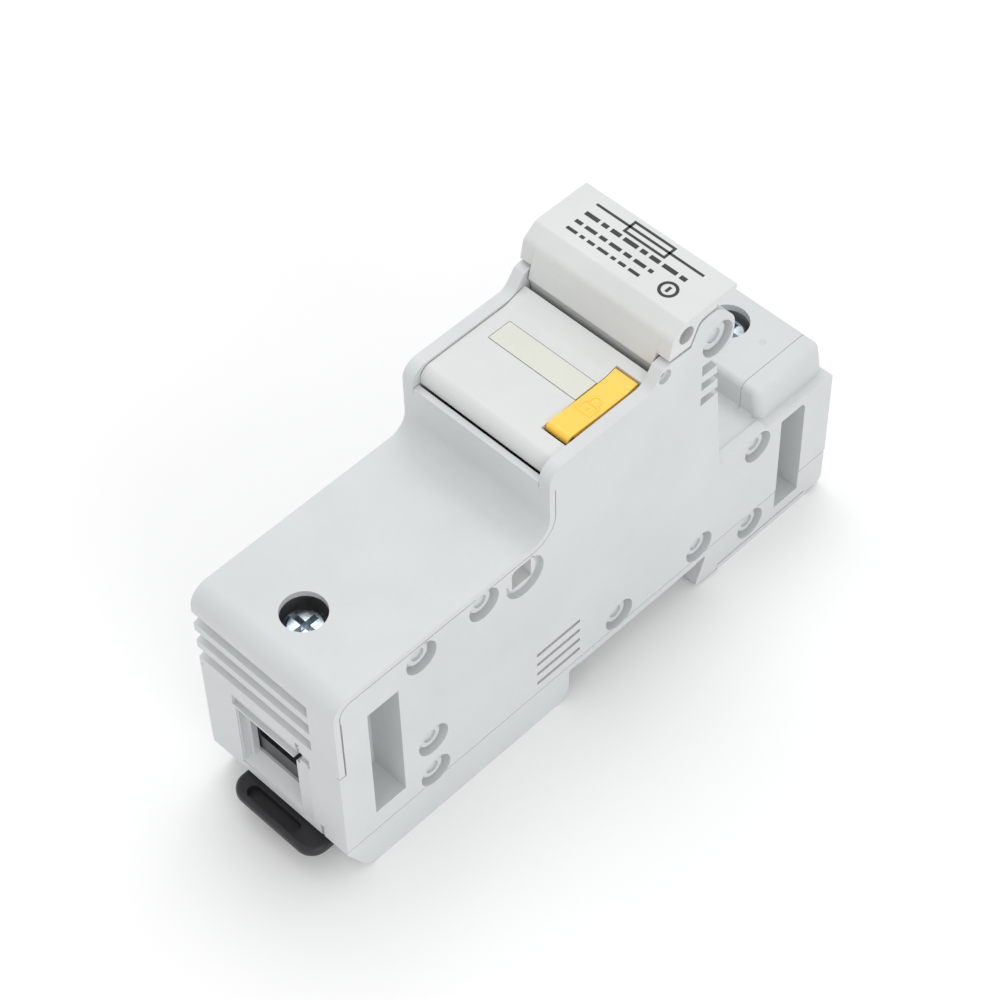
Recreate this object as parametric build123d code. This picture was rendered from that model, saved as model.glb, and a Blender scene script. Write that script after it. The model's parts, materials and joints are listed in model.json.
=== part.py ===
from build123d import *
import math
import os

# Single-pole cartridge fuse holder for a 35 mm top-hat rail, taking a 22 x 58 mm cartridge.
# Modelled with x across the width, y from the front face towards the rear, z up from the feet.
# The whole object is shifted along y as it is written, so that the origin is the middle of its base.

# ---------------------------------------------------------------- overall
WIDTH = 35.0
HALF = WIDTH / 2
LENGTH = 126.2
HEIGHT = 79.1
CLIP_REACH = 4.3                 # finger tab of the rail clip in front of the front face
Y_MID = (LENGTH - CLIP_REACH) / 2
WALL = 2.5                       # side walls
INNER = HALF - WALL
SPLIT_X = 7.3                    # plane where the two half shells meet
PANEL_INSET = 0.1                # below the ridge the sides and the rear lie this much further in
GROOVE_H = 0.4                   # shadow groove along the ridge
GROOVE_D = 0.35

# ---------------------------------------------------------------- levels and stations of the housing
SEAT_Z = 7.4                     # rail seat
SEAM_Z = 9.4                     # ridge along the sides, top of the floor
LOW_TOP_Z = 52.3                 # top of the front terminal cover
STEP_Y = 50.5                    # face of the step between the low and the raised block
STEP_TOP_Z = 64.0
RIM_Z = 68.0                     # rims either side of the carrier
LEDGE_Z = 31.5                   # ledge round the rear terminal block
LEDGE_RIM_Z = 32.0               # rims along the front part of the ledge
LEDGE_RIM_X = 15.1
LEDGE_RIM_Y = 107.4              # rear end of the rims
LEDGE_Y = 94.5                   # foot of the raised block's rear face
REAR_TOP_Z = 37.9
REAR_FRONT_Y, REAR_END_Y = 108.0, 126.0
REAR_TOP_X, REAR_FOOT_X = 14.3, 15.6
REAR_CORNER_R, REAR_EDGE_R = 1.8, 1.5
REAR_FLARE_R = 0.9               # flared foot of the rear block's front wall
REAR_COVER_X = 10.5              # seams either side of the rear cover
COVER_T = 1.3
COVER_FOOT_Z = 32.4              # lower edge of the front cover on the front face
COVER_BEND = 4.0                 # outer bend radius of the front cover
SEAM = 0.2                       # width of the shadow groove under a cover edge
HOOK_Y = 92.4
HOOK_TIP_Y = 89.6
RELIEF = 0.3                     # the seat is this much deeper under the hook and over the clip nose

# ---------------------------------------------------------------- fuse and carrier
PIVOT_Y, PIVOT_Z = 44.4, 46.2
SHAFT_R = 3.5
SOCKET = 4.6                     # square socket in each end of the shaft
RUN = 0.05                       # running clearance of a turning fit, on the radius
FUSE_R = 11.1
FUSE_L = 58.0
FUSE_Y0 = 22.0
FUSE_Z = 29.9
FUSE_CAP_L = 16.0
FUSE_TUBE_R = 10.3
CARRIER_X = 14.6                 # half width of the carrier between the side walls
CHEEK_T = 1.7
CHEEK_IN = CARRIER_X - CHEEK_T
SWING = 70.0                     # opening angle of the carrier, degrees
STEP_CLEAR_R = 19.8              # the frame's front keeps outside this radius from the pivot
LID_Z = 67.5                     # top face of the carrier cover
LID_T = 1.5
LID_FRONT_Y = 52.2
LID_LIP_Z = 64.2                 # lower edge of the lip that hangs in front of the frame
LID_BACK_Y, LID_BACK_Z = 77.7, 68.85
LID_X = 14.85                    # half width of the carrier cover
SWEEP_Y = 73.2                   # where the cover starts to sweep up
FRAME_TOP_Z = 64.9
LABEL = (-11.8, 9.0, 65.5, 70.9) # label recess in the cover: x from, to, y from, to
LABEL_DEPTH = 0.6
LABEL_GAP = 0.15
TAB_X0, TAB_X1 = 9.2, 14.3
TAB_PIN_R = 0.6
TAB_END_Y = 75.4
TAB_LOW = 65.85                  # underside of the tab
TRAY_Z = 65.7                    # floor of the tab's seat
TAB_HINGE_Y, TAB_HINGE_Z, TAB_R = 59.2, 66.8, 1.15
LINK_Y, LINK_Z, LINK_R = 83.6, 75.8, 1.8

# ---------------------------------------------------------------- terminals
FRONT_SCREW = (-0.6, 10.6)
REAR_SCREW = (-1.8, 118.0)
ACCESS_R = 4.25
SCREW_R = 3.0
HEAD_R = 4.0
HEAD_H = 3.2
CLIP_X0, CLIP_X1, CLIP_Z = -9.4, 12.5, 5.0   # edges and underside of the rail clip
BAY_X = 8.2                      # half width of the terminal bays
WINDOW_WALL = 2.9                # wall left round the front cable window
FRONT_TONGUE_Z = 27.4            # underside of the copper tongue in the clamp
REAR_TONGUE_Z = 16.4
TONGUE_T = 2.0
TONGUE_W = 10.0
CAGE_L = 11.2
FRONT_CAGE_W, REAR_CAGE_W = 15.8, 13.2
FRONT_CAGE_Z, REAR_CAGE_Z = 12.9, 6.6    # undersides of the cages when fully open
CAGE_ABOVE = 8.5                 # cage top above the tongue's underside when fully open
CAGE_WALL = 1.0
CAGE_BAR = 3.2                   # thickness of the cage's top bar
FRONT_BAR, REAR_BAR = 4.0, 3.2   # thickness of the bottom bars
COLLAR_Y = (3.2, 18.0)           # the front cage is this long in its lower part, up to COLLAR_Z
COLLAR_Z = 26.5
FRONT_HEAD_Z, REAR_HEAD_Z = 45.3, 32.0   # undersides of the screw heads
JAW_Z = 10.6
JAW_T = 1.4
JAW_GAP = 0.25                   # between a jaw arm and the fuse cap
JAW_ARM_T = 0.9
JAW_TOP_Z = 36.0

# ---------------------------------------------------------------- case pins: y, z and recess radius
THROUGH_PINS = [(34.6, 47.8), (19.9, 47.3), (68.4, 12.4), (90.1, 12.4), (104.9, 6.0), (105.3, 28.3)]
STUB_PINS = [(21.4, 21.7), (21.5, 12.1)]
EAR_PIN = (91.8, 68.5)
EAR_RECESS_R = 3.8
SEAL_HOLE = (78.5, 69.5)
PIN_R = 2.0
PIN_RECESS_R = 3.5
PIN_RECESS_D = 2.0
PIN_HEAD = 0.3                   # pin heads are this much larger on the radius
PIN_SUNK = 1.0
PIN_DIMPLE = 0.5                 # depth of the hollow in each pin head
STUB_IN = 12.8                   # inner end of the short pins


def box(x0, x1, y0, y1, z0, z1):
    return Pos((x0 + x1) / 2, (y0 + y1) / 2, (z0 + z1) / 2) * Box(x1 - x0, y1 - y0, z1 - z0)


def rod_x(y, z, r, x0, x1):
    return Pos((x0 + x1) / 2, y, z) * Rot(0, 90, 0) * Cylinder(r, x1 - x0)


def rod_z(x, y, r, z0, z1):
    return Pos(x, y, (z0 + z1) / 2) * Cylinder(r, z1 - z0)


def rod_y(x, z, r, y0, y1):
    return Pos(x, (y0 + y1) / 2, z) * Rot(90, 0, 0) * Cylinder(r, y1 - y0)


def outline(corners):
    """Closed face from corners (u, v) or (u, v, radius), with each radius as a tangent arc."""
    edges = []
    ends = []
    count = len(corners)
    for i in range(count):
        here = Vector(corners[i][0], corners[i][1])
        back = Vector(corners[i - 1][0], corners[i - 1][1]) - here
        ahead_corner = corners[(i + 1) % count]
        ahead = Vector(ahead_corner[0], ahead_corner[1]) - here
        radius = corners[i][2] if len(corners[i]) > 2 else 0.0
        if radius == 0.0:
            ends.append((here, here))
            continue
        half_angle = math.radians(back.get_angle(ahead)) / 2
        run = radius / math.tan(half_angle)
        start = here + back.normalized() * run
        end = here + ahead.normalized() * run
        bisector = (back.normalized() + ahead.normalized()).normalized()
        middle = here + bisector * (radius / math.sin(half_angle) - radius)
        edges.append(ThreePointArc(start, middle, end))
        ends.append((start, end))
    for i in range(count):
        start = ends[i][1]
        end = ends[(i + 1) % count][0]
        if (end - start).length > 1e-6:
            edges.append(Line(start, end))
    return make_face(Wire.combine([Edge(e.wrapped) for e in edges])[0])


def slab(corners, x0, x1):
    """Side-view outline, given in y and z, made into a solid from x0 to x1."""
    return extrude(Plane.YZ.offset(x0) * outline(corners), amount=x1 - x0)


def both_sides(shape):
    return [shape, mirror(shape, about=Plane.YZ)]


# ---------------------------------------------------------------- housing
def side_outline():
    low_top = LOW_TOP_Z - COVER_T
    step = STEP_Y + COVER_T
    deep = SEAT_Z + RELIEF
    return [
        (0, SEAM_Z - 0.8, 0.5), (4.7, 0, 4), (55.1, 0, 3.5), (55.3, deep, 0.4),
        (57.7, deep), (57.7, SEAT_Z), (HOOK_TIP_Y, SEAT_Z), (HOOK_TIP_Y, deep),
        (HOOK_Y, deep, 0.4), (HOOK_TIP_Y, 0.6, 0.6), (96.0, 0.6), (96.0, 0), (121.6, 0), (121.6, 0.8),
        (126.0, 0.8, 1.6), (LENGTH - PANEL_INSET, SEAM_Z), (LENGTH, SEAM_Z), (LENGTH, LEDGE_Z, 0.6),
        (LEDGE_RIM_Y + 0.9, LEDGE_Z), (LEDGE_RIM_Y, LEDGE_RIM_Z), (LEDGE_Y, LEDGE_RIM_Z, 1.6),
        (92.0, 62.4), (92.0, 68.0), (85.0, 71.7), (79.9, 71.9, 0.8),
        (77.9, 71.6, 0.8), (75.2, RIM_Z, 3), (STEP_Y, RIM_Z, 3.2), (STEP_Y, STEP_TOP_Z - 1.2),
        (step, STEP_TOP_Z - 1.2), (step, low_top, COVER_BEND + COVER_T),
        (COVER_T, low_top, COVER_BEND - COVER_T), (COVER_T, COVER_FOOT_Z), (0, COVER_FOOT_Z),
    ]


def ear():
    """Rounded ear that rises behind the handle's end, on the right-hand wall."""
    return slab([(84.9, 61.6), (84.9, 71.8), (87.2, 76.2, 2.2), (91.6, 76.4, 4), (96.2, 71.0, 5),
                 (96.0, 65.4, 5), (92.0, 61.6)], INNER, HALF)


def rear_block():
    """Raised terminal block behind the step: leaning sides, rounded corners and a flared foot in front."""
    foot = LEDGE_Z - 0.5
    block = slab([(REAR_FRONT_Y - 0.1, foot), (REAR_FRONT_Y, REAR_TOP_Z), (REAR_END_Y, REAR_TOP_Z),
                  (REAR_END_Y, foot)], -REAR_FOOT_X, REAR_FOOT_X)
    across = outline([(-REAR_FOOT_X, foot), (-REAR_TOP_X, REAR_TOP_Z), (REAR_TOP_X, REAR_TOP_Z),
                      (REAR_FOOT_X, foot)])
    block &= extrude(Pos(0, LENGTH, 0) * (Plane.XZ * across), amount=LENGTH / 2)
    middle = (foot + REAR_TOP_Z) / 2
    upright = block.edges().filter_by(lambda e: abs(e.center().Z - middle) < 0.1)
    block = fillet(upright, REAR_CORNER_R)
    top = block.faces().sort_by(Axis.Z)[-1]
    block = fillet(top.edges(), REAR_EDGE_R)
    front = REAR_FRONT_Y - REAR_FLARE_R
    crest = LEDGE_Z + REAR_FLARE_R
    reach = REAR_FOOT_X - REAR_CORNER_R - 0.2
    strip = box(-reach, reach, front, REAR_FRONT_Y + 0.5, foot, crest)
    return block + (strip - rod_x(front, crest, REAR_FLARE_R, -HALF, HALF))


def side_pockets():
    front = box(9.5, HALF + 1, 7.2, 14.3, 14.5, 43.6)
    rear = slab([(111.9, 4.5), (118.6, 4.5), (118.6, 28.6), (117.8, 29.7), (111.9, 29.7)], 9.5, HALF + 1)
    return both_sides(front) + both_sides(rear)


def vents():
    """Four thin slots low on each side and three notches open to the rear edge of the raised block."""
    cuts = []
    for i in range(4):
        z = 12.3 + 2.8 * i
        cuts += both_sides(box(INNER - 1, HALF + 1, 47.0, 58.0, z - 0.45, z + 0.45))
    for z0, z1 in ((53.9, 55.9), (57.8, 59.9), (61.6, 64.3)):
        notch = slab([(88.2, z0), (96.0, z0), (96.0, z1 - 0.7), (88.2, z1)], HALF - 1.8, HALF + 1)
        cuts += both_sides(notch)
    return cuts


def pin_recesses():
    cuts = []
    for y, z in THROUGH_PINS + STUB_PINS:
        cuts += both_sides(rod_x(y, z, PIN_RECESS_R, HALF - PIN_RECESS_D, HALF + 1))
    cuts += both_sides(rod_x(*EAR_PIN, EAR_RECESS_R, HALF - PIN_RECESS_D, HALF + 1))
    cuts += both_sides(rod_x(PIVOT_Y, PIVOT_Z, 4.5, HALF - 1.3, HALF + 1))
    cuts += both_sides(rod_x(*SEAL_HOLE, 1.5, HALF - 0.8, HALF + 1))
    cuts += both_sides(rod_x(*SEAL_HOLE, 0.65, HALF - 2.1, HALF + 1))
    return cuts


def cable_mouth(x0, x1, z0, z1, y_face, inward, depth, wall):
    """Rectangular recess in an end face, with a sloping sill and a stepped jamb, and its window."""
    rise = 0.75 * depth
    jamb = 1.1

    def y(into):
        return y_face + inward * into

    recess = slab([(y(-0.5), z0), (y(0), z0), (y(depth), z0 + rise), (y(wall + 0.5), z0 + rise),
                   (y(wall + 0.5), z1), (y(-0.5), z1)], x0, x1)
    recess -= box(x0 - 1, x0 + jamb, *sorted((y(0.6 * depth), y(wall + 1))), z0, z1)
    rebate = box(x0 - 0.35, x1, *sorted((y(-0.5), y(0.25))), z0 - 0.35, z1)
    return [recess, rebate]


def louvre_cuts(y0, y1):
    """Three long slots across the front, open at their left ends."""
    cuts = []
    for z0, z1 in ((43.5, 46.7), (38.7, 41.7), (33.9, 36.9)):
        slot = slab([(y0, z0), (y1, z0 + 0.9), (y1, z1 + 0.3), (y0, z1)], -HALF - 1, 10.8)
        cuts.append(slot)
    return cuts


def interior():
    """Terminal bays, fuse chamber, slots for the copper tongues and the rail clip's channel."""
    fx, fy = FRONT_SCREW
    rx, ry = REAR_SCREW
    half = TONGUE_W / 2 + 0.2
    return [
        box(-BAY_X - 0.5, BAY_X, 4.2, 18.6, 12.0, LOW_TOP_Z),
        box(-BAY_X - 0.5, BAY_X, WINDOW_WALL, 5.0, 12.7, 31.0),
        box(-INNER, INNER, 19.8, 90.2, SEAM_Z, HEIGHT + 10),
        box(-BAY_X - 0.8, BAY_X, 96.0, 124.2, 4.0, 29.8),
        rear_head_room(),
        box(fx - half, fx + half, 18.0, 20.4, FRONT_TONGUE_Z - 0.2, FRONT_TONGUE_Z + TONGUE_T + 0.2),
        box(rx - half, rx + half, 90.0, 96.5, REAR_TONGUE_Z - 0.2, REAR_TONGUE_Z + TONGUE_T + 0.2),
        box(CLIP_X0 - 0.2, CLIP_X1 + 0.2, -1.0, 56.0, CLIP_Z - 0.2, SEAT_Z + 0.1),
        box(-6.5, 9.5, 3.0, 56.0, -1.0, CLIP_Z - 0.1),
        box(-10.0, 10.0, 99.0, 119.0, -1.0, 2.2),
    ]


def housing():
    whole = slab(side_outline(), -HALF, HALF) - ledge_floor() + rear_block()
    for side in both_sides(ear()):
        whole += side
    lower = box(-HALF - 1, HALF + 1, -1, LENGTH + 1, -1, SEAM_Z) - box(
        -HALF + PANEL_INSET, HALF - PANEL_INSET, -2, LENGTH + 2, -2, SEAM_Z + 1)
    whole -= lower
    whole -= interior()
    for y, z in STUB_PINS:
        for boss in both_sides(rod_x(y, z, PIN_R + 1.2, STUB_IN - 0.2, INNER + 0.5)):
            whole += boss
    whole -= side_pockets() + vents() + pin_recesses()
    whole -= cable_mouth(-8.9, 5.85, 10.7, 26.9, 0.0, 1, 2.7, WINDOW_WALL)
    whole -= box(-9.9, 9.7, -1, 0.9, 27.4, 30.3)
    whole -= cable_mouth(-7.5, 3.9, 7.6, 16.2, LENGTH, -1, 1.2, 2.0)
    whole -= louvre_cuts(-0.5, 3.4)
    whole -= window_side() + cover_gap()
    whole -= both_sides(box(HALF - PANEL_INSET - 0.4, HALF + 1, 96.0, 121.0, 1.3, 1.7))
    whole -= both_sides(slab(cover_band(COVER_T + SEAM), HALF - 0.5, HALF + 1) - step_notch())
    whole -= ridge_groove()
    whole -= [rear_cover_space(), rod_x(PIVOT_Y, PIVOT_Z, SHAFT_R + RUN, -HALF, HALF)]
    whole -= case_pins() + ear_studs()
    return whole


def ledge_floor():
    """What is cleared between the rims in front of the rear block."""
    return box(-LEDGE_RIM_X, LEDGE_RIM_X, LEDGE_Y - 1.0, LEDGE_RIM_Y + 1.0, LEDGE_Z, LEDGE_RIM_Z + 2)


def window_side():
    """Slit that frees the lintel from the thin shell, the shallow strip below it and a small notch."""
    return [box(SPLIT_X - 0.9, SPLIT_X, -1, 3.4, 28.0, 32.3), box(5.6, SPLIT_X - 0.4, -1, 3.4, 26.0, 29.0),
            box(5.8, 9.0, -1, 0.3, 9.0, 27.4), box(10.7, 11.6, -1, 1.4, 8.0, 11.6)]


def cover_gap():
    """Shadow gap behind and below the foot of the front cover, open to the sides."""
    rear = COVER_T + 0.35
    low = COVER_FOOT_Z - 0.25
    behind = box(HALF - 0.8, HALF + 1, 0.9, rear, low, 47.0)
    below = box(HALF - 0.8, HALF + 1, -1, rear, low, COVER_FOOT_Z)
    return both_sides(behind + below)


def ridge_groove():
    z0 = SEAM_Z - GROOVE_H / 2
    z1 = SEAM_Z + GROOVE_H / 2
    cuts = both_sides(box(HALF - GROOVE_D, HALF + 1, -1, LENGTH + 1, z0, z1))
    return cuts + [box(-HALF - 1, HALF + 1, LENGTH - GROOVE_D, LENGTH + 1, z0, z1)]


def step_notch():
    """Top corner of the step at the right-hand wall, where the cover stops short."""
    return box(INNER - 0.1, HALF + 1, STEP_Y - 1, STEP_Y + 3, STEP_TOP_Z - 1.2, STEP_TOP_Z + 1)


def rear_head_room():
    """Room for the rear screw's head, under the rear cover."""
    return box(-9.0, 9.0, 110.8, 123.4, 29.0, REAR_TOP_Z - 1.5)


def rear_cover_space():
    half = REAR_COVER_X + RUN
    return box(-half, half, REAR_FRONT_Y - 2, LENGTH + 1, LEDGE_Z, REAR_TOP_Z + 1)


def cover_band(thick):
    """Side-view outline of the bent front cover: front face, low top and the foot of the step."""
    low = LOW_TOP_Z - thick
    step = STEP_Y + thick
    return [(0, COVER_FOOT_Z), (0, LOW_TOP_Z, COVER_BEND), (STEP_Y, LOW_TOP_Z, COVER_BEND),
            (STEP_Y, STEP_TOP_Z), (step, STEP_TOP_Z), (step, low, COVER_BEND + thick),
            (thick, low, COVER_BEND - thick), (thick, COVER_FOOT_Z)]


def half_shells():
    whole = housing()
    right = whole & box(SPLIT_X, HALF + 2, -10, LENGTH + 10, -2, HEIGHT + 20)
    left = whole & box(-HALF - 2, SPLIT_X, -10, LENGTH + 10, -2, HEIGHT + 20)
    return left, right


def case_pins():
    """Dowels through both shells and short pins near the front, with heads that show in the recesses."""
    pins = []
    end = HALF - PIN_SUNK
    seat = HALF - PIN_RECESS_D
    for y, z in THROUGH_PINS:
        pin = rod_x(y, z, PIN_R, -end, end)
        for head in both_sides(rod_x(y, z, PIN_R + PIN_HEAD, seat, end)):
            pin += head
        pins.append(pin - both_sides(rod_x(y, z, 0.7 * PIN_R, end - PIN_DIMPLE, HALF)))
    for y, z in STUB_PINS:
        pin = rod_x(y, z, PIN_R, STUB_IN, end) + rod_x(y, z, PIN_R + PIN_HEAD, seat, end)
        pins += both_sides(pin - rod_x(y, z, 0.7 * PIN_R, end - PIN_DIMPLE, HALF))
    return pins


def ear_studs():
    """Short studs in the two ears that carry the sealing shackle."""
    end = HALF - PIN_SUNK
    stud = rod_x(*EAR_PIN, PIN_R, INNER, end)
    stud += rod_x(*EAR_PIN, PIN_R + 0.8, HALF - PIN_RECESS_D, end)
    return both_sides(stud - rod_x(*EAR_PIN, 0.8 * PIN_R, end - PIN_DIMPLE, HALF))


def front_terminal_cover():
    cover = slab(cover_band(COVER_T), -HALF, HALF)
    x, y = FRONT_SCREW
    cover -= rod_z(x, y, ACCESS_R, LOW_TOP_Z - 3, LOW_TOP_Z + 1)
    cover -= louvre_cuts(-0.5, COVER_T + 0.5)
    cover -= both_sides(step_notch())
    return cover


def rear_terminal_cover():
    x, y = REAR_SCREW
    half = REAR_COVER_X - RUN
    cover = rear_block() & box(-half, half, REAR_FRONT_Y - 2, LENGTH + 1, LEDGE_Z, REAR_TOP_Z + 1)
    cover -= rear_head_room()
    cover -= rod_z(x, y, ACCESS_R, 30, REAR_TOP_Z + 1)
    return cover


# ---------------------------------------------------------------- contacts and terminals
def contact_jaw(y_arm0, y_arm1, y_riser, tongue_end, tongue_z, tongue_x):
    """Stamped copper piece: two jaw arms on a base, a riser and the tongue that reaches the clamp."""
    inner = FUSE_R + JAW_GAP
    outer = inner + JAW_ARM_T
    riser0, riser1 = y_riser
    jaw = box(-outer, outer, y_arm0, y_arm1, JAW_Z, JAW_Z + JAW_T)
    jaw += box(-9.0, 9.0, min(riser0, y_arm0), max(riser1, y_arm1), JAW_Z, JAW_Z + JAW_T)
    for arm in both_sides(box(inner, outer, y_arm0, y_arm1, JAW_Z, JAW_TOP_Z)):
        jaw += arm
    flare = [(outer, JAW_TOP_Z), (inner, JAW_TOP_Z), (inner + 0.9, JAW_TOP_Z + 1.8),
             (outer + 0.9, JAW_TOP_Z + 1.8)]
    lip = extrude(Pos(0, y_arm1, 0) * (Plane.XZ * outline(flare)), amount=y_arm1 - y_arm0)
    for side in both_sides(lip):
        jaw += side
    jaw += box(-9.0, 9.0, riser0, riser1, JAW_Z, tongue_z + TONGUE_T)
    tongue_y = sorted((tongue_end, riser0))
    half = TONGUE_W / 2
    jaw += box(tongue_x - half, tongue_x + half, tongue_y[0], tongue_y[1], tongue_z, tongue_z + TONGUE_T)
    return jaw


def front_contact_jaw():
    return contact_jaw(25.4, 33.4, (20.0, 21.4), 6.0, FRONT_TONGUE_Z, FRONT_SCREW[0])


def rear_contact_jaw():
    return contact_jaw(72.0, 79.6, (84.0, 85.4), 121.8, REAR_TONGUE_Z, REAR_SCREW[0])


def jaw_spring(y0, y1):
    """Steel bow that presses the two jaw arms onto the fuse cap."""
    inner = FUSE_R + JAW_GAP + JAW_ARM_T
    bow = box(-inner - 0.8, inner + 0.8, y0, y1, JAW_Z - 0.8, 31.0)
    return bow - box(-inner, inner, y0 - 1, y1 + 1, JAW_Z, 32.0)


def clamp_cage(screw, width, bar, z0, tongue_z):
    """Box clamp: a rectangular steel loop that the screw draws up under the tongue."""
    x, y = screw
    z1 = tongue_z + CAGE_ABOVE
    cage = box(x - width / 2, x + width / 2, y - CAGE_L / 2, y + CAGE_L / 2, z0, z1)
    cage = fillet(cage.edges().filter_by(Axis.Y), 0.8)
    return cage - cage_hollow(screw, width, bar, z0, z1)


def cage_hollow(screw, width, bar, z0, z1):
    """The loop's opening, along y, and the screw's bore through the top bar."""
    x, y = screw
    gap = width / 2 - CAGE_WALL
    through = box(x - gap, x + gap, y - CAGE_L, y + CAGE_L, z0 + bar, z1 - CAGE_BAR)
    return through + rod_z(x, y, SCREW_R + 0.06, z1 - CAGE_BAR - 1, z1 + 1)


def front_clamp_cage():
    """The front cage, with a collar round the conductor that reaches forward to the window."""
    cage = clamp_cage(FRONT_SCREW, FRONT_CAGE_W, FRONT_BAR, FRONT_CAGE_Z, FRONT_TONGUE_Z)
    x = FRONT_SCREW[0]
    half = FRONT_CAGE_W / 2
    collar = box(x - half, x + half, *COLLAR_Y, FRONT_CAGE_Z, COLLAR_Z)
    collar -= box(x - half + CAGE_WALL, x + half - CAGE_WALL, 0, 20, FRONT_CAGE_Z + FRONT_BAR, COLLAR_Z + 1)
    return cage + collar


def terminal_screw(screw, neck, tongue_z):
    """Cheese-head clamp screw with a combined slot and cross recess."""
    x, y = screw
    tip = tongue_z + TONGUE_T + 0.1
    head = rod_z(x, y, HEAD_R, neck, neck + HEAD_H)
    head = fillet(head.edges().sort_by(Axis.Z)[-1], 0.9)
    top = neck + HEAD_H
    head -= box(x - 3.9, x + 3.9, y - 0.55, y + 0.55, top - 1.5, top + 1)
    head -= box(x - 0.6, x + 0.6, y - 2.6, y + 2.6, top - 1.9, top + 1)
    return head + rod_z(x, y, SCREW_R, tip, neck)


# ---------------------------------------------------------------- rail clip
def rail_clip():
    """Flat slide under the floor: finger tab in front, nose under the rail's edge behind."""
    top = SEAT_Z - 0.1
    mid = (CLIP_X0 + CLIP_X1) / 2
    plate = box(CLIP_X0, CLIP_X1, -CLIP_REACH, 57.4, CLIP_Z, top)
    corners = plate.edges().filter_by(Axis.Z).sort_by(Axis.Y)[:2]
    plate = fillet(corners, 3.6)
    rim = plate.faces().sort_by(Axis.Y)[0].edges().filter_by(Axis.X)
    plate = fillet(rim, 0.9)
    dish = Pos(mid - 1.2, -1.9, top) * extrude(SlotOverall(13.0, 2.6), amount=1.4, both=True)
    plate -= dish
    plate -= box(CLIP_X0 - 1, CLIP_X1 + 1, 55.5, 58.0, top - 1.1, 8.0)
    for x in (mid - 5.0, mid + 5.0):
        plate -= box(x - 0.5, x + 0.5, 16.0, 44.0, 4.0, 8.0)
    plate -= box(mid - 5.0, mid + 5.0, 43.0, 44.0, 4.0, 8.0)
    for i in range(4):
        y = 7.4 + 3.0 * i
        plate += box(mid - 6.0, mid + 6.0, y, y + 1.2, CLIP_Z - 0.8, CLIP_Z)
    return plate


# ---------------------------------------------------------------- carrier
def step_sweep():
    """Side-view face of what the step passes over, as seen from the carrier while it opens."""
    away = 8.0
    turn = math.radians(-SWING)
    reach = 40.0
    disc = Pos(PIVOT_Y, PIVOT_Z) * Circle(STEP_CLEAR_R)
    centre_y = PIVOT_Y + math.cos(turn) * (away - reach / 2)
    centre_z = PIVOT_Z + math.sin(turn) * (away - reach / 2)
    plane_side = Pos(centre_y, centre_z) * Rot(0, 0, -SWING) * Rectangle(reach, 2 * reach)
    return disc & plane_side


def cheek():
    upper = outline([(52.6, 41.3), (89.3, 41.3, 2), (89.3, 66.3), (78.2, 66.3), (77.2, FRAME_TOP_Z),
                     (52.6, FRAME_TOP_Z)])
    lower = (Pos(PIVOT_Y, PIVOT_Z) * Circle(25.2)) & outline(
        [(45.2, 24.0, 3), (62.0, 24.0), (66.0, 46.0), (45.2, 46.0)])
    neck = outline([(42.0, 34.0), (49.0, 30.0), (49.0, 40.0), (46.6, PIVOT_Z), (42.0, PIVOT_Z)])
    hub = Pos(PIVOT_Y, PIVOT_Z) * Circle(4.5)
    face = ((upper + lower) - step_sweep()) + neck + hub
    return extrude(Plane.YZ.offset(CHEEK_IN) * face, amount=CHEEK_T)


def carrier_frame():
    """Two cheeks joined by a floor over the fuse, a curved front wall, a rib and a rear wall."""
    frame = box(-CHEEK_IN, CHEEK_IN, 64.5, 89.3, 41.3, 42.8)
    front = rod_x(PIVOT_Y, PIVOT_Z, 21.5, -CHEEK_IN, CHEEK_IN)
    front -= rod_x(PIVOT_Y, PIVOT_Z, STEP_CLEAR_R + 0.1, -CARRIER_X, CARRIER_X)
    frame += front & box(-CARRIER_X, CARRIER_X, 52.6, 70.0, 41.3, FRAME_TOP_Z)
    frame += box(-CHEEK_IN, CHEEK_IN, 87.8, 89.3, 41.3, 66.3)
    frame += box(-CHEEK_IN, CHEEK_IN, 76.4, 77.9, 41.3, FRAME_TOP_Z)
    for side in both_sides(cheek()):
        frame += side
    return frame - rod_x(PIVOT_Y, PIVOT_Z, SHAFT_R, -HALF, HALF)


def carrier_cover():
    """Cover over the fuse: level, then swept up towards the handle, with a lip down its front."""
    under = LID_Z - LID_T
    lip = LID_FRONT_Y + 0.35
    plate = slab([(LID_FRONT_Y, LID_LIP_Z), (LID_FRONT_Y, LID_Z, 2.4), (SWEEP_Y, LID_Z, 6),
                  (LID_BACK_Y, LID_BACK_Z), (LID_BACK_Y, LID_BACK_Z - LID_T), (SWEEP_Y + 0.2, under, 6),
                  (LID_FRONT_Y + LID_T, under, 1.0), (LID_FRONT_Y + LID_T, FRAME_TOP_Z),
                  (lip, FRAME_TOP_Z), (lip, LID_LIP_Z)], -LID_X, LID_X)
    plate -= box(*LABEL, LID_Z - LABEL_DEPTH, LID_Z + 1)
    side = TAB_X0 - 0.2
    seat_end = TAB_END_Y + 0.25
    tray_y = TAB_HINGE_Y + 2.0
    plate -= box(side, LID_X + 1, 57.2, seat_end, FRAME_TOP_Z - 1, LID_BACK_Z + 1)
    wall = 1.5
    plate += box(side - wall, LID_X, tray_y, seat_end + 1.2, FRAME_TOP_Z, TRAY_Z)
    plate += box(side - wall, side, tray_y, seat_end, FRAME_TOP_Z, under + 0.2)
    plate += box(side - wall, LID_X, seat_end, seat_end + 1.2, FRAME_TOP_Z, under + 1.2)
    plate += box(side - wall, side, 57.4, 61.0, FRAME_TOP_Z, LID_Z - 0.3)
    return plate - lock_tab_pin()


def label_insert():
    x0, x1, y0, y1 = LABEL
    gap = LABEL_GAP
    return box(x0 + gap, x1 - gap, y0 + gap, y1 - gap, LID_Z - LABEL_DEPTH, LID_Z + 0.05)


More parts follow.
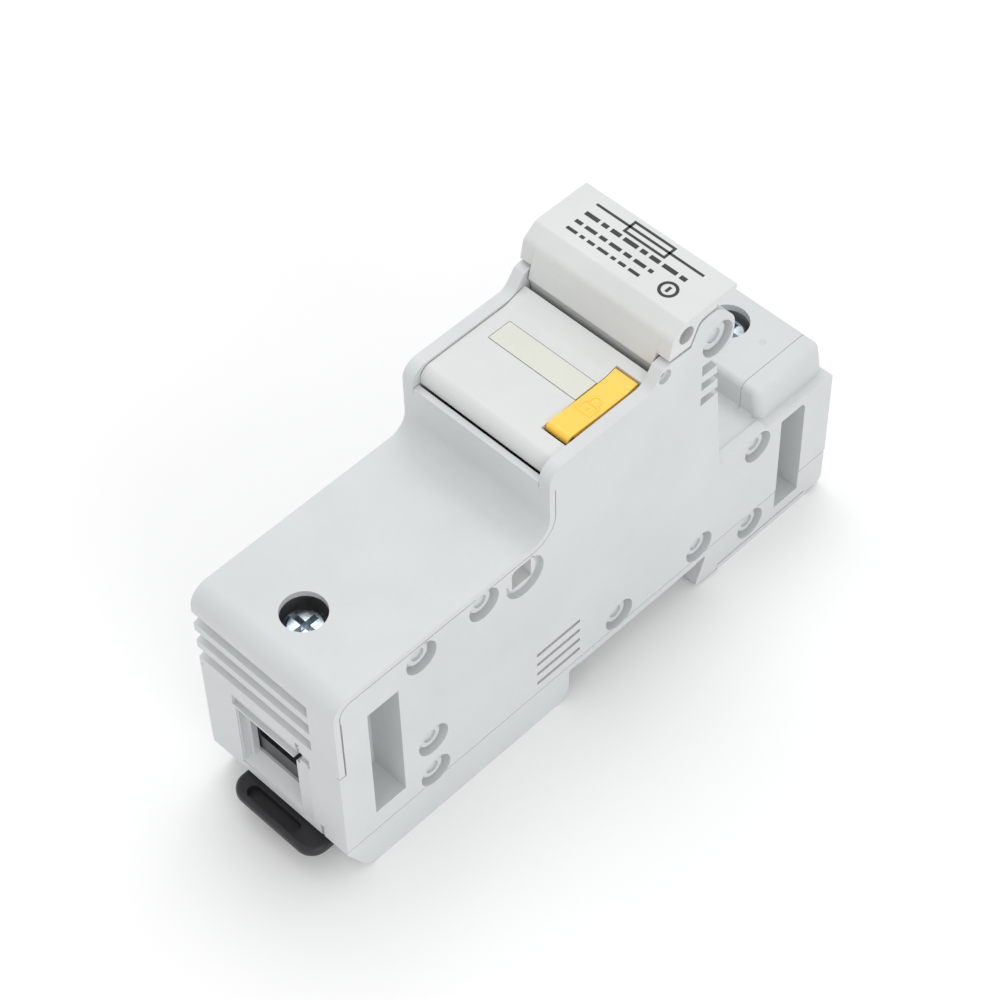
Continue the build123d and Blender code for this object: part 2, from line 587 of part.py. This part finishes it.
def lock_tab():
    """Slim lever with a shallow finger dip, which lies in the cover's seat and turns about its front end."""
    tab = slab([(TAB_HINGE_Y, TAB_LOW), (TAB_END_Y, TAB_LOW), (TAB_END_Y, 68.1, 0.4), (72.6, 67.55, 5),
                (66.0, 67.6, 8), (TAB_HINGE_Y, TAB_HINGE_Z + TAB_R)], TAB_X0, TAB_X1)
    tab += rod_x(TAB_HINGE_Y, TAB_HINGE_Z, TAB_R, TAB_X0, TAB_X1)
    return tab - rod_x(TAB_HINGE_Y, TAB_HINGE_Z, TAB_PIN_R + RUN, TAB_X0 - 1, TAB_X1 + 1)


def lock_tab_pin():
    return rod_x(TAB_HINGE_Y, TAB_HINGE_Z, TAB_PIN_R, 7.8, TAB_X1)


def carrier_handle():
    """Pull bar: a deep middle between the rims and shallow full-width ends that pass over them."""
    middle = slab([(79.1, 66.3), (78.9, 69.0, 0.5), (78.4, 70.3, 0.6), (79.2, 73.4), (80.2, 76.8, 2),
                   (83.3, HEIGHT, 1.5), (96.1, HEIGHT, 0.4), (96.1, 77.75), (91.4, 77.75), (89.3, 75.0),
                   (89.3, 66.3)], -CARRIER_X, CARRIER_X)
    end = slab([(79.3, 72.5, 0.3), (84.7, 72.3, 0.6), (86.9, 76.75, 2), (91.1, 76.95), (91.2, 77.75),
                (96.1, 77.75), (96.1, HEIGHT, 0.4), (83.3, HEIGHT, 1.5), (80.2, 76.8, 2)],
               CARRIER_X, HALF - 0.05)
    handle = middle
    for side in both_sides(end):
        handle += side
    return handle - rod_x(LINK_Y, LINK_Z, LINK_R, -HALF - 1, HALF + 1)


def pivot_shaft():
    shaft = rod_x(PIVOT_Y, PIVOT_Z, SHAFT_R, -HALF + 0.9, HALF - 0.9)
    half = SOCKET / 2
    socket = box(HALF - 3.4, HALF, PIVOT_Y - half, PIVOT_Y + half, PIVOT_Z - half, PIVOT_Z + half)
    return shaft - both_sides(socket)


def fuse_clip():
    """Curved plastic spring on a cheek that hugs the fuse's ceramic body."""
    clip = rod_y(0, FUSE_Z, CHEEK_IN, 47.6, 57.4) - rod_y(0, FUSE_Z, FUSE_TUBE_R + 0.25, 47, 58)
    clip = clip & box(0, CARRIER_X, 47, 58, FUSE_Z - 8.5, FUSE_Z + 8.0)
    return clip


# ---------------------------------------------------------------- cartridge fuse
def fuse_body():
    tube = rod_y(0, FUSE_Z, FUSE_TUBE_R, FUSE_Y0 + 1, FUSE_Y0 + FUSE_L - 1)
    return tube - rod_y(0, FUSE_Z, 7.4, FUSE_Y0, FUSE_Y0 + FUSE_L)


def fuse_cap(y0, y1, closed_end):
    cap = rod_y(0, FUSE_Z, FUSE_R, y0, y1)
    cap = fillet(cap.edges().filter_by(GeomType.CIRCLE), 0.35)
    step = 1.0 if closed_end == y0 else -1.0
    other = y1 if closed_end == y0 else y0
    hollow = sorted((closed_end + step, other + step))
    return cap - rod_y(0, FUSE_Z, FUSE_TUBE_R, hollow[0], hollow[1])


def fuse_element():
    """Notched silver strip from cap to cap inside the tube."""
    strip = box(-4.0, 4.0, FUSE_Y0 + 1, FUSE_Y0 + FUSE_L - 1, FUSE_Z - 0.15, FUSE_Z + 0.15)
    for i in range(3):
        y = FUSE_Y0 + FUSE_L / 2 + 8.0 * (i - 1)
        for x in (-4.0, 4.0):
            strip -= rod_z(x, y, 2.6, FUSE_Z - 1, FUSE_Z + 1)
    return strip


def write(name, shape):
    solids = shape if isinstance(shape, list) else [shape]
    moved = [Pos(0, -Y_MID, 0) * solid for solid in solids]
    shape = moved[0] if len(moved) == 1 else Compound(children=moved)
    shape.label = name
    export_step(shape, "parts/" + name + ".step")


def main():
    os.makedirs("parts", exist_ok=True)
    left, right = half_shells()
    write("left_shell", left)
    write("right_shell", right)
    write("front_terminal_cover", front_terminal_cover())
    write("rear_terminal_cover", rear_terminal_cover())
    write("case_pins", case_pins())
    write("ear_studs", ear_studs())
    write("front_contact_jaw", front_contact_jaw())
    write("rear_contact_jaw", rear_contact_jaw())
    write("front_jaw_spring", jaw_spring(27.2, 32.0))
    write("rear_jaw_spring", jaw_spring(73.2, 78.0))
    write("front_clamp_cage", front_clamp_cage())
    write("rear_clamp_cage", clamp_cage(REAR_SCREW, REAR_CAGE_W, REAR_BAR, REAR_CAGE_Z, REAR_TONGUE_Z))
    write("front_terminal_screw", terminal_screw(FRONT_SCREW, FRONT_HEAD_Z, FRONT_TONGUE_Z))
    write("rear_terminal_screw", terminal_screw(REAR_SCREW, REAR_HEAD_Z, REAR_TONGUE_Z))
    write("rail_clip", rail_clip())
    write("carrier_frame", carrier_frame())
    write("carrier_cover", carrier_cover())
    write("carrier_handle", carrier_handle())
    write("label_insert", label_insert())
    write("lock_tab", lock_tab())
    write("lock_tab_pin", lock_tab_pin())
    write("pivot_shaft", pivot_shaft())
    right_clip, left_clip = both_sides(fuse_clip())
    write("fuse_clip_right", right_clip)
    write("fuse_clip_left", left_clip)
    write("fuse_body", fuse_body())
    fuse_end = FUSE_Y0 + FUSE_L
    write("fuse_cap_front", fuse_cap(FUSE_Y0, FUSE_Y0 + FUSE_CAP_L, FUSE_Y0))
    write("fuse_cap_rear", fuse_cap(fuse_end - FUSE_CAP_L, fuse_end, fuse_end))
    write("fuse_element", fuse_element())


main()
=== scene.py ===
import json
import math

import bmesh
import bpy
from mathutils import Matrix, Vector


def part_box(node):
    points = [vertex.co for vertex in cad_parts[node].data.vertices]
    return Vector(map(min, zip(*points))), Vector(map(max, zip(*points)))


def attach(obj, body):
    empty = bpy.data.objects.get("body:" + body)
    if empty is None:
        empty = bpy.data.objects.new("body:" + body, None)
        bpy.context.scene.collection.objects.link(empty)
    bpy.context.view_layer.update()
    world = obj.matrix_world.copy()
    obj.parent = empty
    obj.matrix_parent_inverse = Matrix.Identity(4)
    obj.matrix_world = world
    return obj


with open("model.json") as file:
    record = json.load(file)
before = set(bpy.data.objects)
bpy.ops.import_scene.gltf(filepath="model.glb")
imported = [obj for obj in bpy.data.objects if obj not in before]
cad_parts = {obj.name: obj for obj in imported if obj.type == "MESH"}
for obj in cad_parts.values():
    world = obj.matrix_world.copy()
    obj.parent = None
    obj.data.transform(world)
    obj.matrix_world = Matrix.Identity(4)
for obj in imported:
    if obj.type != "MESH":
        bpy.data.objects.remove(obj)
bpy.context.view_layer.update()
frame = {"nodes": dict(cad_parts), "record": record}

MM = 0.001
FRONT_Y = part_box("left_shell")[0].y     # front face of the housing

# camera: angles in degrees, focal length in mm on a 36 mm sensor, place in the units of at()
CAMERA_AZIMUTH, CAMERA_ELEVATION, CAMERA_ROLL = 45.988, 50.964, -1.684
CAMERA_LENS, CAMERA_SENSOR = 100.67, 36.0
CAMERA_PLACE = (222.13, -158.69, 422.7)

# marks, in mm
MARK_SINK = 0.02                        # how deep a mark's foot lies in the face under it
PRINT_THICK = 0.02
SYMBOL_HALF_LENGTH, SYMBOL_HALF_WIDTH, SYMBOL_LINE = 4.6, 1.4, 0.55
PRINT_MARGIN = 5.0                      # from the handle's ends to the print
SYMBOL_BACK = 2.8                       # from the handle's rear edge to the symbol's middle
DASH_GAP = 0.75
SIGN_FROM_HINGE = 6.4                   # from the tab's front end to the padlock
SIGN_RAISED = 0.14
SIGN_LINE = 0.38
TAB_DIP = 0.41                          # the tab's top at the sign, below its rear end
TAB_LEAN = -0.02                        # rise of the tab's top per mm of y at the sign


def at(x, y, z):
    """A point given in mm: x from the middle, y from the front face, z from the feet."""
    return Vector((x * MM, FRONT_Y + y * MM, z * MM))


# ---------------------------------------------------------------- node helpers
def new_material(name):
    mat = bpy.data.materials.new(name)
    mat.use_nodes = True
    tree = mat.node_tree
    shader = next(n for n in tree.nodes if n.type == "BSDF_PRINCIPLED")
    return mat, tree, shader


def noise(tree, scale, detail=4.0, rough=0.55):
    """Noise in the row frame, so that it runs on from piece to piece. scale is in waves per metre."""
    coords = tree.nodes.new("ShaderNodeTexCoord")
    node = tree.nodes.new("ShaderNodeTexNoise")
    node.inputs["Scale"].default_value = scale
    node.inputs["Detail"].default_value = detail
    node.inputs["Roughness"].default_value = rough
    tree.links.new(coords.outputs["Object"], node.inputs["Vector"])
    return node.outputs["Fac"]


def ramp(tree, source, stops):
    node = tree.nodes.new("ShaderNodeValToRGB")
    node.color_ramp.elements[0].position = stops[0][0]
    node.color_ramp.elements[0].color = (*stops[0][1], 1)
    node.color_ramp.elements[1].position = stops[-1][0]
    node.color_ramp.elements[1].color = (*stops[-1][1], 1)
    for place, colour in stops[1:-1]:
        node.color_ramp.elements.new(place).color = (*colour, 1)
    tree.links.new(source, node.inputs["Fac"])
    return node.outputs["Color"]


def spread(tree, source, low, high):
    node = tree.nodes.new("ShaderNodeMapRange")
    node.inputs["From Min"].default_value = 0.3
    node.inputs["From Max"].default_value = 0.7
    node.inputs["To Min"].default_value = low
    node.inputs["To Max"].default_value = high
    tree.links.new(source, node.inputs["Value"])
    return node.outputs["Result"]


def bump(tree, shader, layers):
    """Stacks (height output, strength, depth in metres) layers into the shader's normal."""
    last = None
    for height, strength, depth in layers:
        node = tree.nodes.new("ShaderNodeBump")
        node.inputs["Strength"].default_value = strength
        node.inputs["Distance"].default_value = depth
        tree.links.new(height, node.inputs["Height"])
        if last is not None:
            tree.links.new(last, node.inputs["Normal"])
        last = node.outputs["Normal"]
    tree.links.new(last, shader.inputs["Normal"])


def shade(colour, factor):
    return tuple(min(1.0, c * factor) for c in colour)


# ---------------------------------------------------------------- materials
def moulded_plastic(name, colour, rough=(0.42, 0.55), grain=0.35, variation=0.03):
    """Injection moulding: spark-eroded grain, faint flow waves, a slight mottle and handling marks."""
    mat, tree, shader = new_material(name)
    cloud = noise(tree, 45.0, 3.0)
    mottle = ramp(tree, cloud, [(0.3, shade(colour, 1 - variation)), (0.7, shade(colour, 1 + variation))])
    speck = noise(tree, 900.0, 2.0)
    specks = ramp(tree, speck, [(0.0, (0.965, 0.965, 0.965)), (0.32, (0.99, 0.99, 0.99)), (0.6, (1, 1, 1))])
    mix = tree.nodes.new("ShaderNodeMix")
    mix.data_type = "RGBA"
    mix.blend_type = "MULTIPLY"
    mix.inputs["Factor"].default_value = 1.0
    tree.links.new(mottle, mix.inputs[6])
    tree.links.new(specks, mix.inputs[7])
    tree.links.new(mix.outputs[2], shader.inputs["Base Color"])
    tree.links.new(spread(tree, noise(tree, 120.0, 6.0), *rough), shader.inputs["Roughness"])
    bump(tree, shader, [
        (noise(tree, 60.0, 2.0), 0.25, 0.00012),
        (noise(tree, 5200.0, 3.0), grain, 0.00003),
    ])
    return mat


def plated_metal(name, colour, tint, rough=(0.2, 0.38), streaks=0.25):
    """Plated steel or copper: patchy passivation colour, fine scratches and an uneven gloss."""
    mat, tree, shader = new_material(name)
    shader.inputs["Metallic"].default_value = 1.0
    patches = ramp(tree, noise(tree, 380.0, 4.0), [(0.35, colour), (0.65, tint)])
    tree.links.new(patches, shader.inputs["Base Color"])
    tree.links.new(spread(tree, noise(tree, 700.0, 5.0), *rough), shader.inputs["Roughness"])
    bump(tree, shader, [
        (noise(tree, 900.0, 3.0), streaks, 0.00004),
        (noise(tree, 6000.0, 2.0), 0.2, 0.00001),
    ])
    return mat


HOUSING = moulded_plastic("housing grey plastic", (0.615, 0.635, 0.640))
CARRIER = moulded_plastic("carrier grey plastic", (0.645, 0.655, 0.648), rough=(0.34, 0.46), grain=0.2)
IVORY = moulded_plastic("ivory label plastic", (0.66, 0.665, 0.595), rough=(0.38, 0.5), grain=0.15)
YELLOW = moulded_plastic("yellow tab plastic", (0.98, 0.60, 0.07), rough=(0.3, 0.42), grain=0.15)
BLACK = moulded_plastic("black nylon", (0.016, 0.015, 0.018), rough=(0.36, 0.5), grain=0.4, variation=0.15)
ZINC = plated_metal("zinc plated steel", (0.36, 0.43, 0.49), (0.62, 0.67, 0.71), rough=(0.14, 0.34),
                    streaks=0.6)
DARK_STEEL = plated_metal("phosphated steel", (0.13, 0.135, 0.14), (0.18, 0.185, 0.19), rough=(0.4, 0.55))
TIN = plated_metal("tinned copper", (0.55, 0.54, 0.52), (0.66, 0.65, 0.62), rough=(0.35, 0.5))
SPRING = plated_metal("spring steel", (0.34, 0.35, 0.37), (0.45, 0.46, 0.48), rough=(0.25, 0.4))
SILVER = plated_metal("silver plating", (0.80, 0.79, 0.75), (0.88, 0.87, 0.84), rough=(0.22, 0.36))
CERAMIC = moulded_plastic("white ceramic", (0.80, 0.79, 0.755), rough=(0.5, 0.65), grain=0.5)
INK = moulded_plastic("black print", (0.02, 0.021, 0.024), rough=(0.5, 0.6), grain=0.2, variation=0.2)
WITNESS = moulded_plastic("housing grey, ejector mark", (0.56, 0.58, 0.585), rough=(0.3, 0.4), grain=0.1)

NODE_MATERIALS = {
    "housing_grey": HOUSING, "carrier_grey": CARRIER, "label_ivory": IVORY, "tab_yellow": YELLOW,
    "clip_black": BLACK, "tinned_copper": TIN, "silvered_copper": SILVER, "silver_strip": SILVER,
    "spring_steel": SPRING, "zinc_steel": ZINC, "dark_steel": DARK_STEEL, "fuse_ceramic": CERAMIC,
}
EDGE = {
    "left_shell": 0.22, "right_shell": 0.22, "front_terminal_cover": 0.3, "rear_terminal_cover": 0.3,
    "carrier_cover": 0.2, "carrier_handle": 0.35, "lock_tab": 0.3, "rail_clip": 0.4,
    "front_terminal_screw": 0.15, "rear_terminal_screw": 0.15, "front_clamp_cage": 0.3,
    "rear_clamp_cage": 0.3, "case_pins": 0.15, "ear_studs": 0.15,
}


def dress_cad_nodes():
    """Gives each CAD node its slot's material and a small rounding on its sharp edges."""
    for entry in frame["record"]["subparts"]:
        node = frame["nodes"][entry["node"]]
        node.data.materials.clear()
        node.data.materials.append(NODE_MATERIALS[entry["material_slot"]])
        width = EDGE.get(entry["node"])
        if width:
            edge = node.modifiers.new("rounded edges", "BEVEL")
            edge.width = width * MM
            edge.segments = 3
            edge.limit_method = "ANGLE"
            edge.angle_limit = math.radians(35)
            edge.use_clamp_overlap = True
            edge.harden_normals = True


# ---------------------------------------------------------------- printed and embossed marks
def ribbon(bm, path, width, z0, z1, closed=False, lean=0.0):
    """A flat strip along a path of (x, y) points, from level z0 to z1, all in mm.

    lean is the rise per mm of y of the face under the strip, counted from y = 0.
    """
    points = [Vector(p) for p in path]
    count = len(points)
    rows = []
    for i in range(count):
        after = points[(i + 1) % count] - points[i]
        before = points[i] - points[i - 1]
        if not closed and i == 0:
            before = after
        if not closed and i == count - 1:
            after = before
        before, after = before.normalized().orthogonal(), after.normalized().orthogonal()
        side = (before + after).normalized()
        side *= width / 2 / side.dot(after)
        left, right = points[i] + side, points[i] - side
        corners = ((left, z0), (left, z1), (right, z1), (right, z0))
        rows.append([bm.verts.new(at(*spot, level + lean * spot.y)) for spot, level in corners])
    for i in range(count if closed else count - 1):
        here, there = rows[i], rows[(i + 1) % count]
        for k in range(4):
            bm.faces.new((here[k], here[k - 3], there[k - 3], there[k]))
    if not closed:
        bm.faces.new(rows[0])
        bm.faces.new(rows[-1])


def arc(x, y, radius, start, end, steps):
    """Points on a circle between two angles in degrees."""
    angles = [math.radians(start + (end - start) * i / steps) for i in range(steps + 1)]
    return [(x + radius * math.cos(a), y + radius * math.sin(a)) for a in angles]


def mark(name, strips, z, thick, body, material, lean=0.0):
    """One piece from (path, width, closed) strips that stand thick mm above the face at z."""
    bm = bmesh.new()
    for path, width, closed in strips:
        ribbon(bm, path, width, z - MARK_SINK, z + thick, closed, lean)
    bmesh.ops.recalc_face_normals(bm, faces=bm.faces)
    mesh = bpy.data.meshes.new(name)
    bm.to_mesh(mesh)
    bm.free()
    piece = bpy.data.objects.new(name, mesh)
    bpy.context.scene.collection.objects.link(piece)
    mesh.materials.append(material)
    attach(piece, body)
    return piece


def box_mm(node):
    """A node's lowest and highest corners in the units of at()."""
    low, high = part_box(node)
    shift = Vector((0, FRONT_Y, 0))
    return (low - shift) / MM, (high - shift) / MM


def handle_print():
    """Generic print on the handle's top: the symbol for a fuse over three rows of plain dashes."""
    low, high = box_mm("carrier_handle")
    rear, top = high.y, high.z
    left, right = low.x + PRINT_MARGIN, high.x - PRINT_MARGIN
    symbol_y = rear - SYMBOL_BACK
    near, far = symbol_y - SYMBOL_HALF_WIDTH, symbol_y + SYMBOL_HALF_WIDTH
    case = [(-SYMBOL_HALF_LENGTH, near), (SYMBOL_HALF_LENGTH, near),
            (SYMBOL_HALF_LENGTH, far), (-SYMBOL_HALF_LENGTH, far)]
    strips = [([(left, symbol_y), (right, symbol_y)], SYMBOL_LINE, False), (case, SYMBOL_LINE, True)]
    # each row: distance from the rear edge, x where it ends, lengths of its dashes in turn
    rows = ((5.6, right, (3.2, 1.4, 2.2)), (8.1, 5.6, (1.6, 2.6)), (10.3, 5.6, (2.4, 1.0, 1.6)))
    for row, (back, end, lengths) in enumerate(rows):
        x = left
        turn = 0
        while x < end - 0.8:
            stop = min(end, x + lengths[turn % len(lengths)])
            strips.append(([(x, rear - back), (stop, rear - back)], 0.95 - 0.12 * row, False))
            x = stop + DASH_GAP
            turn += 1
    strips.append((arc(right - 2.3, rear - 9.2, 1.6, 0, 345, 23), 0.6, True))
    strips.append(([(right - 2.3, rear - 9.9), (right - 2.3, rear - 8.5)], 0.6, False))
    mark("handle_print", strips, top, PRINT_THICK, "carrier", INK)


def lock_sign():
    """Raised outline of a padlock in the dip of the tab's top, in place of a word."""
    low, high = box_mm("lock_tab")
    middle = (low.x + high.x) / 2
    y = low.y + SIGN_FROM_HINGE
    body = [(middle - 1.5, y), (middle + 1.5, y), (middle + 1.5, y + 2.3), (middle - 1.5, y + 2.3)]
    shackle = [(middle + 0.95, y + 2.3), *arc(middle, y + 3.2, 0.95, 0, 180, 12), (middle - 0.95, y + 2.3)]
    keyhole = [(middle, y + 0.75), (middle, y + 1.55)]
    face = high.z - TAB_DIP - TAB_LEAN * (y + 1.5)
    strips = [(body, SIGN_LINE, True), (shackle, SIGN_LINE, False), (keyhole, 0.4, False)]
    piece = mark("lock_sign", strips, face, SIGN_RAISED, "lock_tab", YELLOW, TAB_LEAN)
    edge = piece.modifiers.new("rounded edges", "BEVEL")
    edge.width = 0.05 * MM
    edge.segments = 2


def ejector_mark():
    """Faint round witness of an ejector on the rear terminal cover."""
    low, high = box_mm("rear_terminal_cover")
    ring = arc(high.x - 4.1, low.y + 11.5, 0.4, 0, 345, 23)
    mark("ejector_mark", [(ring, 0.75, True)], high.z, 0.015, "root", WITNESS)


# ---------------------------------------------------------------- stage
def floor():
    bpy.ops.mesh.primitive_plane_add(size=6.0, location=(0, 0, 0))
    plane = bpy.context.object
    plane.name = "floor"
    mat, tree, shader = new_material("pale floor")
    tone = ramp(tree, noise(tree, 6.0, 2.0), [(0.3, (0.92, 0.92, 0.92)), (0.7, (0.94, 0.94, 0.94))])
    tree.links.new(tone, shader.inputs["Base Color"])
    shader.inputs["Roughness"].default_value = 0.9
    plane.data.materials.append(mat)


def area_light(name, place, target, size, power):
    light = bpy.data.lights.new(name, "AREA")
    light.shape = "RECTANGLE"
    light.size, light.size_y = size
    light.energy = power
    lamp = bpy.data.objects.new(name, light)
    bpy.context.scene.collection.objects.link(lamp)
    lamp.location = place
    lamp.rotation_euler = (Vector(target) - Vector(place)).to_track_quat("-Z", "Y").to_euler()


def lights():
    world = bpy.data.worlds.new("soft studio")
    bpy.context.scene.world = world
    world.use_nodes = True
    background = next(n for n in world.node_tree.nodes if n.type == "BACKGROUND")
    background.inputs["Color"].default_value = (1.0, 1.0, 1.0, 1.0)
    background.inputs["Strength"].default_value = 0.82
    middle = (0.0, 0.0, 0.03)
    area_light("top softbox", (-0.25, 0.25, 0.85), middle, (0.6, 0.6), 2.4)
    area_light("right softbox", (0.8, -0.25, 0.45), middle, (0.5, 0.5), 1.8)


def colour_view():
    """Plain display of the shaded colours, so that the plastic keeps its own tone."""
    bpy.context.scene.view_settings.view_transform = "Standard"


def camera():
    """Looks down on the front right corner, as the reference view does."""
    azimuth, elevation = math.radians(CAMERA_AZIMUTH), math.radians(CAMERA_ELEVATION)
    roll = math.radians(CAMERA_ROLL)
    back = Vector((math.sin(azimuth) * math.cos(elevation), -math.cos(azimuth) * math.cos(elevation),
                   math.sin(elevation)))
    level = (-back).cross(Vector((0, 0, 1))).normalized()
    upright = level.cross(-back)
    right = level * math.cos(roll) + upright * math.sin(roll)
    up = upright * math.cos(roll) - level * math.sin(roll)
    data = bpy.data.cameras.new("camera")
    data.sensor_width = CAMERA_SENSOR
    data.lens = CAMERA_LENS
    data.clip_start = 0.01
    cam = bpy.data.objects.new("camera", data)
    bpy.context.scene.collection.objects.link(cam)
    turn = Matrix((right, up, back)).transposed().to_4x4()
    cam.matrix_world = Matrix.Translation(at(*CAMERA_PLACE)) @ turn
    bpy.context.scene.camera = cam


dress_cad_nodes()
handle_print()
lock_sign()
ejector_mark()
floor()
lights()
colour_view()
camera()
